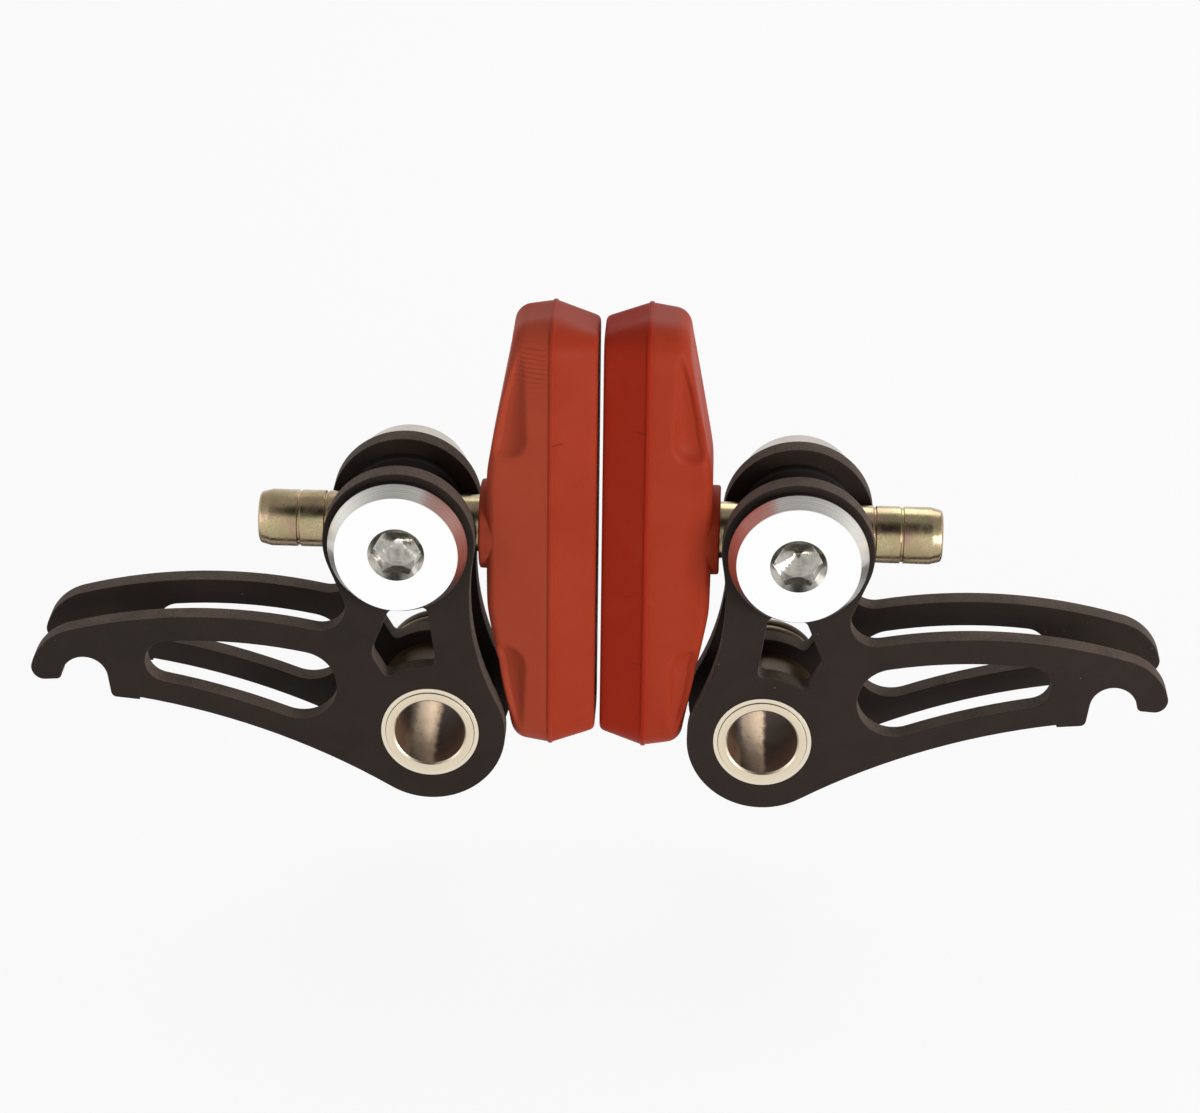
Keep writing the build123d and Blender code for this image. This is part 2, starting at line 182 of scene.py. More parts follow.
class MetalSettings(PropertyGroup):
    """The bright and plated metal pieces."""

    polish: colour_property("Polish", "Polished faces of the clamp bolts", (0.99, 0.99, 0.99))
    flank: colour_property("Flank", "Brushed flanks of the clamp bolts", (0.90, 0.87, 0.82))
    socket: colour_property("Socket", "Sockets of the clamp bolts", (0.47, 0.45, 0.405))
    nickel: colour_property("Nickel", "Pivot sleeves", (0.76, 0.66, 0.50))
    bore: colour_property("Bore", "Dull inside of the sleeves", (0.44, 0.325, 0.22))
    # Painted shade: brown that stands for the shaded sides of the sleeves' bores
    stain: colour_property("Shadow", "Shadowed sides of the sleeves' bores", (0.150, 0.078, 0.042))
    bush: colour_property("Bush", "Bearing bushes", (0.76, 0.68, 0.54))
    bronze: colour_property("Bronze", "Pivot spacers", (0.120, 0.079, 0.040))
    zinc: colour_property("Zinc", "Yellow zinc of the pad posts", (0.57, 0.43, 0.26))
    zinc_green: colour_property("Zinc, green", "Green tint in the zinc", (0.48, 0.43, 0.24))
    zinc_pink: colour_property("Zinc, pink", "Pink tint in the zinc", (0.52, 0.36, 0.26))
    # Brown of the flecks, also laid on the posts' undersides as painted shade
    tarnish: colour_property("Tarnish", "Brown flecks in the zinc", (0.135, 0.088, 0.046))
    spring: colour_property("Spring", "Golden wire of the springs", (0.13, 0.096, 0.060))
    steel: colour_property("Steel", "Eye bolts", (0.46, 0.44, 0.41))
    satin: colour_property("Satin", "Cone nuts", (0.50, 0.44, 0.385))
    washer: colour_property("Washer", "Black washers", (0.012, 0.009, 0.008))
    edge_round: length_property("Edge round", "Break of the turned edges", 0.10 * MM)


class PadSettings(PropertyGroup):
    """The moulded brake pads."""

    rubber: colour_property("Rubber", "Red compound", (0.350, 0.0365, 0.0125))
    rubber_deep: colour_property("Deep rubber", "Darker clouds in the compound", (0.320, 0.0300, 0.0095))
    # Painted shade: a deeper red without sheen, for the right pad's friction half
    rubber_clean: colour_property("Shaded rubber", "Compound without dust", (0.325, 0.0185, 0.0042))
    dust: colour_property("Dust", "Dust on the compound", (0.44, 0.10, 0.055))
    # Painted sheen: share of the dust colour laid over the left pad's back half; the dust colour also
    # serves real dust
    film: share_property("Sheen", "Dust over the left pad's back half", 0.30)
    roughness: share_property("Roughness", "Satin of the compound", 0.50)
    ridge_from: length_property("Ridge start", "Height of the parting ridge's friction side", 4.78 * MM)
    ridge_to: length_property("Ridge end", "Height of the parting ridge's back side", 5.36 * MM)
    ridge_height: length_property("Ridge height", "Step at each side of the ridge", 0.17 * MM)
    face_round: length_property("Face round", "Round of the friction face's edge", 0.45 * MM)
    along: IntProperty(name="Along", description="Mesh steps along a long side", min=24, default=110)
    around: IntProperty(name="Around", description="Mesh steps round a corner", min=4, default=10)
    across: IntProperty(name="Across", description="Mesh steps across an end", min=4, default=8)


class StageSettings(PropertyGroup):
    """Camera, light and floor."""

    distance: length_property("Distance", "Camera to the brake's middle", 0.400)
    azimuth: angle_property("Azimuth", "Camera to the right", 2.2)
    elevation: angle_property("Elevation", "Camera above", 26.0)
    roll: angle_property("Roll", "Tilt of the camera", 0.7)
    aim_height: length_property("Aim height", "Point looked at, above the pivots", 20.2 * MM)
    lens: number_property("Lens", "Focal length in millimetres", 105.0)
    key: number_property("Key light", "Power of the key light in watts", 2.1)
    fill: number_property("Fill light", "Power of the fill light in watts", 0.36)
    back: number_property("Back light", "Power of the light behind in watts", 0.6)
    ambient: number_property("Ambient", "Strength of the surrounding light", 0.40)
    overhead: share_property("Overhead", "Brightness that metal mirrors from above", 0.40)
    floor_drop: length_property("Floor drop", "Room under the brake for its arms to swing", 13.5 * MM)
    shade: share_property("Shade", "Brightness left in the dark patch above the camera", 0.05)
    shade_height: angle_property("Shade height", "Height of the dark patch", 52.0)


class Tree:
    """Adds and links the nodes of one node tree."""

    def __init__(self, tree):
        self.tree = tree

    def add(self, kind, settings=None, **inputs):
        """A new node, with its settings and its inputs' values or links."""
        made = self.tree.nodes.new("ShaderNode" + kind)
        for name, value in (settings or {}).items():
            setattr(made, name, value)
        for name, value in inputs.items():
            self.feed(made.inputs[name.replace("_", " ")], value)
        return made

    def feed(self, socket, value):
        """Links a socket or sets its value."""
        if isinstance(value, NodeSocket):
            self.tree.links.new(value, socket)
        else:
            socket.default_value = value

    def maths(self, operation, first, second=0.0):
        """One operation on two values."""
        made = self.add("Math", {"operation": operation})
        self.feed(made.inputs[0], first)
        self.feed(made.inputs[1], second)
        return made.outputs[0]

    def mix(self, factor, first, second):
        """A colour between two."""
        made = self.add("Mix", {"data_type": "RGBA"})
        self.feed(made.inputs["Factor"], factor)
        colours = [socket for socket in made.inputs if socket.type == "RGBA"]
        self.feed(colours[0], first)
        self.feed(colours[1], second)
        return next(socket for socket in made.outputs if socket.type == "RGBA")

    def span(self, value, low, high, start=0.0, end=1.0):
        """A value carried from one range to another, and held at its ends."""
        made = self.add("MapRange", Value=value, From_Min=low, From_Max=high, To_Min=start, To_Max=end)
        return made.outputs["Result"]

    def place(self):
        """The point on the surface, in the part's own frame."""
        return self.add("TexCoord").outputs["Object"]

    def noise(self, scale, detail, rough=0.55):
        """Cloudy noise of a given scale."""
        made = self.add("TexNoise", Vector=self.place(), Scale=scale, Detail=detail, Roughness=rough)
        return made.outputs["Fac"]

    def group(self, name, **inputs):
        """A shared effect, made at its first use, with its own values."""
        effect = bpy.data.node_groups.get(name) or EFFECTS[name]()
        made = self.add("Group", {"node_tree": effect})
        for socket, value in inputs.items():
            self.feed(made.inputs[socket], value)
        return made


def opaque(colour):
    """A colour with full alpha."""
    return (*colour, 1.0)


def new_group(name, inputs, outputs):
    """An empty shared effect with its sockets, its tree and its two end nodes."""
    group = bpy.data.node_groups.new(name, "ShaderNodeTree")
    for socket, kind, default in inputs:
        made = group.interface.new_socket(socket, in_out="INPUT", socket_type=kind)
        made.default_value = default
    for socket in outputs:
        group.interface.new_socket(socket, in_out="OUTPUT", socket_type="NodeSocketFloat")
    tree = Tree(group)
    start = group.nodes.new("NodeGroupInput").outputs
    end = group.nodes.new("NodeGroupOutput").inputs
    return tree, start, end


def grain_effect():
    """Fine grain of a size in millimetres, and the clouds it lies in."""
    tree, start, end = new_group("grain", [("Size", "NodeSocketFloat", 0.2)], ["Height", "Clouds"])
    fine = tree.maths("DIVIDE", 1 / MM, start["Size"])
    tree.feed(end["Height"], tree.noise(fine, 4.0, 0.6))
    tree.feed(end["Clouds"], tree.noise(tree.maths("DIVIDE", fine, 30.0), 3.0))
    return tree.tree


def turning_effect():
    """Irregular lathe lines round the y axis of a position, of a pitch in millimetres."""
    sockets = [("Position", "NodeSocketVector", (0, 0, 0)), ("Pitch", "NodeSocketFloat", 0.2)]
    tree, start, end = new_group("turning", sockets, ["Height", "Bands"])
    along = tree.add("SeparateXYZ", Vector=start["Position"]).outputs["Y"]
    radius = axis_distance(tree, start["Position"])
    path = tree.maths("DIVIDE", tree.maths("ADD", radius, along), MM)
    phase = tree.maths("DIVIDE", path, start["Pitch"])
    lines = tree.add("TexNoise", {"noise_dimensions": "1D"}, W=phase, Scale=1.0, Detail=2.0)
    bands = tree.add("TexNoise", {"noise_dimensions": "1D"}, W=phase, Scale=0.12, Detail=1.0)
    tree.feed(end["Height"], lines.outputs["Fac"])
    tree.feed(end["Bands"], bands.outputs["Fac"])
    return tree.tree


def handling_effect():
    """Smudges of a size in millimetres, and sparse specks of dust."""
    tree, start, end = new_group("handling", [("Size", "NodeSocketFloat", 3.0)], ["Smudges", "Specks"])
    scale = tree.maths("DIVIDE", 1 / MM, start["Size"])
    cloud = tree.add("TexNoise", Vector=tree.place(), Scale=scale, Detail=6.0, Distortion=0.7)
    tree.feed(end["Smudges"], tree.span(cloud.outputs["Fac"], 0.42, 0.68))
    cells = tree.add("TexVoronoi", Vector=tree.place(), Scale=tree.maths("MULTIPLY", scale, 2.4))
    dots = tree.span(cells.outputs["Distance"], 0.03, 0.07, 1.0, 0.0)
    few = tree.span(tree.noise(tree.maths("MULTIPLY", scale, 0.9), 1.0), 0.60, 0.64)
    tree.feed(end["Specks"], tree.maths("MULTIPLY", dots, few))
    return tree.tree


EFFECTS = {"grain": grain_effect, "turning": turning_effect, "handling": handling_effect}


def new_material(name):
    """A material with its tree and its shader."""
    material = bpy.data.materials.new(name)
    material.use_nodes = True
    return material, Tree(material.node_tree), material.node_tree.nodes["Principled BSDF"]


def bumped(tree, height, distance, below=None):
    """A normal that follows a height, on top of another bump if there is one."""
    made = tree.add("Bump", Height=height, Distance=distance, Strength=1.0)
    if below is not None:
        tree.feed(made.inputs["Normal"], below)
    return made.outputs["Normal"]


def turned_place(tree, centre, axis):
    """The point from the centre of a turned piece, the same on both sides, with its axis along y."""
    parts = tree.add("SeparateXYZ", Vector=tree.place()).outputs
    across = tree.maths("SUBTRACT", tree.maths("ABSOLUTE", parts["X"]), centre.x)
    along = tree.maths("SUBTRACT", parts["Y"], centre.y)
    up = tree.maths("SUBTRACT", parts["Z"], centre.z)
    order = {"Y": (across, along, up), "X": (along, across, up)}[axis]
    return tree.add("CombineXYZ", X=order[0], Y=order[1], Z=order[2]).outputs["Vector"]


def turned_metal(name, colour, roughness, centre, pitch, dull=0.7, wall=None, bare=1.0):
    """Lathe-turned metal with fine rings, darker bands, smudges and, if asked, its own walls."""
    material, tree, shader = new_material(name)
    place = turned_place(tree, centre, "Y")
    rings = tree.group("turning", Position=place, Pitch=pitch)
    marks = tree.group("handling", Size=2.6)
    dark = tuple(channel * dull for channel in colour)
    bands = tree.span(rings.outputs["Bands"], 0.35, 0.70)
    base = tree.mix(bands, opaque(colour), opaque(dark))
    rough = tree.span(marks.outputs["Smudges"], 0.0, 1.0, roughness, roughness + 0.10)
    if wall is not None:
        side = tree.span(facing(tree), 0.20, 0.45, 1.0, 0.0)
        # The wall's colour carries painted shade on its sides, and the same mask makes those sides
        # rougher and less bare
        inside, shade_and_grit = wall(tree, place)
        base = tree.mix(side, base, inside)
        shade_and_grit = tree.maths("MULTIPLY", shade_and_grit, side)
        rough = tree.maths("ADD", rough, tree.maths("MULTIPLY", shade_and_grit, 0.3))
        bare = tree.maths("SUBTRACT", bare, tree.maths("MULTIPLY", shade_and_grit, 0.9))
    base = tree.mix(tree.maths("MULTIPLY", marks.outputs["Specks"], 0.5), base, opaque(dark))
    tree.feed(shader.inputs["Base Color"], base)
    tree.feed(shader.inputs["Metallic"], bare)
    tree.feed(shader.inputs["Roughness"], rough)
    tree.feed(shader.inputs["Normal"], bumped(tree, rings.outputs["Height"], RING_DEPTH))
    return material


def shade_and_grit_bore(look):
    """A bore's wall, bare along its floor, with brown painted shade to the right and far to the left,
    and flecks of grit.
    """

    def wall(tree, place):
        side = tree.maths("SIGN", tree.add("SeparateXYZ", Vector=tree.place()).outputs["X"])
        spot = tree.add("SeparateXYZ", Vector=place).outputs
        across = tree.maths("MULTIPLY", spot["X"], side)
        wander = tree.maths("MULTIPLY", tree.noise(700.0, 3.0), PAINTED_SHADE_WANDER)
        right = tree.span(tree.maths("ADD", wander, across), *PAINTED_SHADE_RIGHT)
        left = tree.span(tree.maths("SUBTRACT", wander, across), *PAINTED_SHADE_LEFT)
        grit = tree.span(tree.group("grain", Size=0.30).outputs["Height"], 0.58, 0.70, 0.0, 0.5)
        # The mask is painted shade on the bore's sides together with flecks of grit
        shade_and_grit = tree.maths("MAXIMUM", tree.maths("MAXIMUM", right, left), grit)
        return tree.mix(shade_and_grit, opaque(look.bore), opaque(look.stain)), shade_and_grit

    return wall


def polished_bolt(look):
    """Mirror-flat face, brushed flank and a duller socket with drilled rings."""
    material, tree, shader = new_material("bolt_polish")
    place = turned_place(tree, CLAMP, "Y")
    rings = tree.group("turning", Position=place, Pitch=0.16)
    marks = tree.group("handling", Size=1.2)
    sloped = tree.span(facing(tree), 0.93, 0.98, 1.0, 0.0)
    near = tree.span(axis_distance(tree, place), *SOCKET_RIM, 1.0, 0.0)
    inner = tree.maths("MULTIPLY", sloped, near)
    streak = tuple(channel * 0.62 for channel in look.flank)
    flank = tree.mix(tree.span(rings.outputs["Height"], 0.40, 0.66), opaque(look.flank), opaque(streak))
    base = tree.mix(sloped, opaque(look.polish), flank)
    # Here the darker socket colour marks smudges only
    stain = tuple(channel * 0.6 for channel in look.socket)
    socket = tree.mix(marks.outputs["Smudges"], opaque(look.socket), opaque(stain))
    tree.feed(shader.inputs["Base Color"], tree.mix(inner, base, socket))
    tree.feed(shader.inputs["Metallic"], tree.span(inner, 0.0, 1.0, 1.0, 0.9))
    rough = tree.span(sloped, 0.0, 1.0, 0.05, 0.30)
    rough = tree.maths("SUBTRACT", rough, tree.maths("MULTIPLY", inner, 0.17))
    tree.feed(shader.inputs["Roughness"], rough)
    lines = tree.maths("MULTIPLY", rings.outputs["Height"], tree.maths("ADD", sloped, inner))
    tree.feed(shader.inputs["Normal"], bumped(tree, lines, 6 * MICRON))
    return material


def black_washer(look):
    """Matt black anodised washers."""
    material, tree, shader = new_material("washer_black")
    grain = tree.group("grain", Size=0.14)
    shader.inputs["Base Color"].default_value = opaque(look.washer)
    shader.inputs["Roughness"].default_value = 0.55
    shader.inputs["Specular IOR Level"].default_value = 0.22
    tree.feed(shader.inputs["Normal"], bumped(tree, grain.outputs["Height"], 5 * MICRON))
    return material


def axis_distance(tree, place):
    """How far a position lies from its y axis."""
    parts = tree.add("SeparateXYZ", Vector=place).outputs
    flat = tree.add("CombineXYZ", X=parts["X"], Z=parts["Z"]).outputs["Vector"]
    return tree.add("VectorMath", {"operation": "LENGTH"}, Vector=flat).outputs["Value"]


def facing(tree):
    """One where the surface faces along the pivots, nothing where it runs along them."""
    normal = tree.add("SeparateXYZ", Vector=tree.add("TexCoord").outputs["Normal"]).outputs["Y"]
    return tree.maths("ABSOLUTE", normal)


def zinc_plate(look):
    """Yellow zinc chromate, with green and pink clouds, brown flecks, drawn rings and painted shade
    along its underside.
    """
    material, tree, shader = new_material("post_zinc")
    place = turned_place(tree, CLAMP, "X")
    rings = tree.group("turning", Position=place, Pitch=0.35)
    marks = tree.group("handling", Size=1.8)
    grain = tree.group("grain", Size=0.17)
    tint = tree.mix(
        tree.span(tree.noise(420.0, 3.0), 0.40, 0.62), opaque(look.zinc), opaque(look.zinc_green)
    )
    tint = tree.mix(tree.span(tree.noise(560.0, 2.0, 0.4), 0.52, 0.70), tint, opaque(look.zinc_pink))
    worn = tree.span(rings.outputs["Bands"], 0.40, 0.75, 0.0, 0.55)
    flecks = tree.span(grain.outputs["Height"], 0.48, 0.68, 0.0, 0.50)
    height = tree.add("SeparateXYZ", Vector=place).outputs["Z"]
    # Painted shade: the flecks' brown laid over the post's underside
    underside_shade = tree.span(height, *POST_UNDERSIDE_SHADE, 0.55, 0.0)
    base = tree.mix(tree.maths("MAXIMUM", worn, flecks), tint, opaque(look.tarnish))
    tree.feed(shader.inputs["Base Color"], tree.mix(underside_shade, base, opaque(look.tarnish)))
    shader.inputs["Metallic"].default_value = 1.0
    tree.feed(shader.inputs["Roughness"], tree.span(marks.outputs["Smudges"], 0.0, 1.0, 0.19, 0.32))
    fine = bumped(tree, grain.outputs["Height"], 8 * MICRON)
    tree.feed(shader.inputs["Normal"], bumped(tree, rings.outputs["Height"], 3 * MICRON, fine))
    return material


def spring_wire(look):
    """Golden plated wire with drawing clouds."""
    material, tree, shader = new_material("spring_wire")
    grain = tree.group("grain", Size=0.25)
    dark = tuple(channel * 0.45 for channel in look.spring)
    clouds = tree.span(grain.outputs["Clouds"], 0.35, 0.65)
    tree.feed(shader.inputs["Base Color"], tree.mix(clouds, opaque(look.spring), opaque(dark)))
    shader.inputs["Metallic"].default_value = 1.0
    tree.feed(shader.inputs["Roughness"], tree.span(grain.outputs["Height"], 0.3, 0.7, 0.28, 0.44))
    tree.feed(shader.inputs["Normal"], bumped(tree, grain.outputs["Height"], 3 * MICRON))
    return material


def anodised_plate(look):
    """Black anodised face, paler milled edges, fine blasted grain, smudges and dust."""
    material, tree, shader = new_material("plate_anodised")
    cut = tree.span(facing(tree), 0.25, 0.85, 1.0, 0.0)
    grain = tree.group("grain", Size=0.14)
    marks = tree.group("handling", Size=4.0)
    base = tree.mix(cut, opaque(look.face), opaque(look.cut))
    deep = tuple(channel * 0.6 for channel in look.face)
    base = tree.mix(tree.span(grain.outputs["Clouds"], 0.40, 0.75, 0.0, 0.4), base, opaque(deep))
    coarse = tree.span(tree.group("grain", Size=0.26).outputs["Height"], 0.40, 0.66, 0.0, 0.38)
    pitted = tree.maths("MULTIPLY", coarse, tree.span(cut, 0.0, 1.0, 0.4, 1.0))
    base = tree.mix(pitted, base, opaque(deep))
    dust = tree.maths("MULTIPLY", marks.outputs["Specks"], 0.35)
    base = tree.mix(dust, base, opaque(look.dust))
    tree.feed(shader.inputs["Base Color"], base)
    rough = tree.span(marks.outputs["Smudges"], 0.0, 1.0, look.roughness, look.roughness + 0.09)
    milled = tree.maths("MULTIPLY", cut, 0.85)
    tree.feed(shader.inputs["Roughness"], tree.maths("MAXIMUM", rough, milled))
    shader.inputs["Specular IOR Level"].default_value = 0.11
    tree.feed(shader.inputs["Normal"], bumped(tree, grain.outputs["Height"], 8 * MICRON))
    return material


def pad_rubber(look):
    """Red moulded compound with clouds, dust, fine grain, mould nicks and scuffs near one top end, with
    painted shade on the right pad's friction half and a painted sheen on the left pad's back half.
    """
    material, tree, shader = new_material("pad_rubber")
    grain = tree.group("grain", Size=0.17)
    marks = tree.group("handling", Size=5.0)
    place = tree.add("SeparateXYZ", Vector=tree.place()).outputs
    clouds = tree.span(tree.noise(150.0, 4.0), 0.35, 0.68)
    base = tree.mix(clouds, opaque(look.rubber), opaque(look.rubber_deep))
    shaded, sheened = pad_halves(tree, place, look)
    # Painted shade on the right pad's friction half, in a deeper red without sheen
    base = tree.mix(shaded, base, opaque(look.rubber_clean))
    dusty = tree.maths("MULTIPLY", tree.span(grain.outputs["Clouds"], 0.55, 0.80), 0.07)
    # Painted sheen: dust colour over the left pad's back half, on top of the real dust clouds
    film = tree.maths("MULTIPLY", sheened, look.film)
    base = tree.mix(tree.maths("MAXIMUM", dusty, film), base, opaque(look.dust))
    specks = tree.maths("MULTIPLY", marks.outputs["Specks"], 0.30)
    base = tree.mix(specks, base, opaque(look.dust))
    scuffs = scuff_lines(tree, place)
    nicks = mould_nicks(tree, place)
    scuffed = tuple(channel * 0.45 for channel in look.rubber_deep)
    faint = tree.maths("MULTIPLY", scuffs, SCUFF_SHADE)
    strong = tree.maths("MULTIPLY", nicks, NICK_SHADE)
    base = tree.mix(tree.maths("MAXIMUM", faint, strong), base, opaque(scuffed))
    tree.feed(shader.inputs["Base Color"], base)
    rough = tree.span(marks.outputs["Smudges"], 0.0, 1.0, look.roughness, look.roughness + 0.12)
    tree.feed(shader.inputs["Roughness"], rough)
    shader.inputs["Specular IOR Level"].default_value = 0.11
    waves = bumped(tree, tree.noise(330.0, 2.0), 25 * MICRON)
    fine = bumped(tree, grain.outputs["Height"], 16 * MICRON, waves)
    tree.feed(shader.inputs["Normal"], bumped(tree, scuffs, -25 * MICRON, fine))
    return material


def pad_halves(tree, place, look):
    """Masks of the right pad's friction half, for painted shade, and the left pad's back half, for a
    painted sheen.
    """
    low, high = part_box("right_brake_pad")
    parting = min(abs(low.x), abs(high.x)) + look.ridge_to
    soft = 0.1 * MM
    right = tree.span(place["X"], -soft, soft)
    friction = tree.span(place["X"], parting - soft, parting + soft, 1.0, 0.0)
    sheened = tree.span(place["X"], -parting - soft, -parting + soft, 1.0, 0.0)
    return tree.maths("MULTIPLY", right, friction), sheened


def scuff_lines(tree, place):
    """Thin level scuffs on the left pad's flank, just below its top end."""
    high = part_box("left_brake_pad")[1]
    height = tree.maths("DIVIDE", tree.maths("SUBTRACT", high.z, place["Z"]), MM)
    wander = tree.maths("MULTIPLY", tree.noise(300.0, 2.0), SCUFF_WANDER)
    wave = tree.maths("SINE", tree.maths("MULTIPLY", tree.maths("ADD", height, wander), SCUFF_WAVES))
    below = tree.span(height, *SCUFF_TOP)
    above = tree.span(height, *SCUFF_FOOT, 1.0, 0.0)
    band = tree.maths("MULTIPLY", below, above)
    depth = tree.maths("DIVIDE", tree.maths("SUBTRACT", high.x, place["X"]), MM)
    behind = tree.span(depth, *SCUFF_FRONT)
    before = tree.span(depth, *SCUFF_BACK, 1.0, 0.0)
    strip = tree.maths("MULTIPLY", behind, before)
    patch = tree.maths("MULTIPLY", band, strip)
    return tree.maths("MULTIPLY", tree.span(wave, 0.35, 0.95), patch)


def mould_nicks(tree, place):
    """Short level nicks left by the mould on the friction flanks, beside the parting ridge."""
    marks = 0.0
    for side, along in NICKS:
        low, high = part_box(f"{side}_brake_pad")
        inner = min(abs(low.x), abs(high.x))
        away = tree.maths("SUBTRACT", tree.maths("MULTIPLY", place["X"], SIDES[side]), inner)
        level = tree.maths("SUBTRACT", place["Z"], (low.z + high.z) / 2 + along * MM)
        slant = tree.maths("ADD", level, tree.maths("MULTIPLY", away, NICK_SLANT))
        thin = tree.span(tree.maths("ABSOLUTE", slant), *NICK_WIDTH, 1.0, 0.0)
        behind = tree.span(away, *NICK_START)
        before = tree.span(away, *NICK_END, 1.0, 0.0)
        long = tree.maths("MULTIPLY", behind, before)
        marks = tree.maths("MAXIMUM", marks, tree.maths("MULTIPLY", thin, long))
    return marks


def dress(node, material, edge_round=0.0):
    """Gives a CAD node its finish and, if asked, breaks its sharp edges, with its own shape kept."""
    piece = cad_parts[node]
    mesh = piece.data
    mesh.materials.clear()
    mesh.materials.append(material)
    if not edge_round:
        return
    if "custom_normal" in mesh.attributes:
        mesh.attributes.remove(mesh.attributes["custom_normal"])
    mesh.polygons.foreach_set("use_smooth", [True] * len(mesh.polygons))
    mesh.edges.foreach_set("use_edge_sharp", [False] * len(mesh.edges))
    weld = piece.modifiers.new("weld", "WELD")
    weld.merge_threshold = WELD_DISTANCE
    whole = piece.modifiers.new("whole_faces", "DECIMATE")
    whole.decimate_type = "DISSOLVE"
    whole.angle_limit = FLAT_ANGLE
    soft = piece.modifiers.new("edge_break", "BEVEL")
    soft.width = edge_round
    soft.segments = BREAK_STEPS
    soft.limit_method = "ANGLE"
    soft.angle_limit = SHARP_ANGLE
    soft.harden_normals = True
    soft.use_clamp_overlap = False
    soft.loop_slide = False


def new_piece(name, mesh, material, body, node):
    """Puts a finished mesh in the scene in place of a CAD node."""
    mesh.materials.clear()
    mesh.materials.append(material)
    piece = bpy.data.objects.new(name, mesh)
    bpy.context.scene.collection.objects.link(piece)
    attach(piece, body)
    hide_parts(node)


class PadForm:
    """The pad's form in millimetres: across, along, and up from the friction face."""

    half_width = 6.3
    half_length = 26.5
    corner = 4.0
    thickness = 12.4
    parting = 5.2
    face_draft = math.tan(math.radians(19))
    back_draft = math.tan(math.radians(9))
    flat = 8.5
    end_thickness = 9.0
    bend_ease = 1.5
    side_rim = 1.0
    end_rim = 1.7
    rim_start = 20.0
    ridge_foot = 0.8
    boss_radius = 5.1
    boss_height = 0.9
    boss_root = 2.0
    boss_round = 0.28
    boss_ease = 0.08
    face_steps = 8
    flank_steps = 15
    rim_steps = 11
    scoop_start_up = 10.3
    scoop_start_down = 12.8
    scoop_end = 23.2
    scoop_edge = 8.0
    scoop_half = 2.6
    scoop_half_tip = 0.8
    scoop_depth = 1.15
    scoop_depth_tip = 0.3
    scoop_lip = 0.6

    def __init__(self, look):
        self.look = look
        self.base, self.outward = self.outline()

    def outline(self):
        """The widest outline, as points and their outward directions, from one end's left corner."""
        wide = self.half_width - self.corner
        long = self.half_length - self.corner
        ends = np.linspace(-wide, wide, self.look.across + 1)
        sides = np.linspace(-long, long, self.look.along + 1)
        turn = np.radians(np.linspace(0, 90, self.look.around + 1))
        points = [(x, -self.half_length) for x in ends]
        away = [(0, -1)] * len(ends)
        for start, centre, side in (
            (-90, (wide, -long), [(self.half_width, s) for s in sides[1:]]),
            (0, (wide, long), [(x, self.half_length) for x in ends[::-1][1:]]),
            (90, (-wide, long), [(-self.half_width, s) for s in sides[::-1][1:]]),
            (180, (-wide, -long), []),
        ):
            heading = turn[1:] + math.radians(start)
            rays = list(zip(np.cos(heading), np.sin(heading)))
            points += [(centre[0] + self.corner * x, centre[1] + self.corner * y) for x, y in rays]
            away += rays
            points += side
            away += [rays[-1]] * len(side)
        return np.array(points[:-1]), np.array(away[:-1])

    def back(self, along):
        """Height of the back at a place along the pad."""
        slope = (self.thickness - self.end_thickness) / (self.half_length - self.flat)
        beyond = np.abs(along) - self.flat
        return self.thickness - slope * 0.5 * (beyond + np.sqrt(beyond**2 + self.bend_ease))

    def flank(self, height):
        """How far the back half's flank lies inside the widest outline."""
        return self.look.ridge_height / MM * self.ridge_foot + (height - self.parting) * self.back_draft

    def rings(self):
        """Rings of points from the friction face to the back, each as across, along and up."""
        ridge_from = self.look.ridge_from / MM
        ridge_to = self.look.ridge_to / MM
        step = self.look.ridge_height / MM
        round_face = self.look.face_round / MM
        face = step + ridge_from * self.face_draft
        level = []
        for turn in np.radians((0, 30, 60, 90)):
            rise = round_face * (1 - math.cos(turn))
            level.append((face - rise * self.face_draft + round_face * (1 - math.sin(turn)), rise))
        for height in np.linspace(round_face, ridge_from - 0.12, self.face_steps)[1:]:
            level.append((face - height * self.face_draft, height))
        # The ridge, from its friction side to its back: inside the widest outline, and up
        level += [
            (step + 0.03, ridge_from - 0.03),
            (step, ridge_from),
            (0.05, ridge_from + 0.05),
            (0.0, ridge_from + 0.12),
            (0.0, ridge_to - 0.14),
            (0.05, ridge_to - 0.06),
            (step, ridge_to),
            (step + 0.02, ridge_to + 0.05),
        ]
        count = len(self.base)
        found = [self.ring(np.full(count, inset), np.full(count, height)) for inset, height in level]
        return found + self.back_rings(ridge_to + 0.15)

    def ring(self, inset, height):
        """One ring at a distance inside the widest outline and a height."""
        flat = self.base - self.outward * inset[:, None]
        return np.column_stack([flat, height])

    def back_rings(self, start):
        """Drafted flank, rounded rim, and the tapered scoops cut from both."""
        beyond = np.abs(self.base[:, 1]) - self.rim_start
        near_end = np.clip(beyond / (self.half_length - self.rim_start), 0, 1)
        rim = self.side_rim + (self.end_rim - self.side_rim) * near_end
        reach = self.flank(self.thickness) + rim
        top = self.back(self.base[:, 1] - self.outward[:, 1] * reach)
        found = []
        for share in np.linspace(0, 1, self.flank_steps)[:-1]:
            height = start + share * (top - rim - start)
            found.append(self.scooped(self.flank(height), height, math.atan(self.back_draft)))
        for turn in np.radians(np.linspace(0, 90, self.rim_steps)):
            height = top - rim + rim * math.sin(turn)
            inset = self.flank(height) + rim * (1 - math.cos(turn))
            found.append(self.scooped(inset, height, turn))
        return found

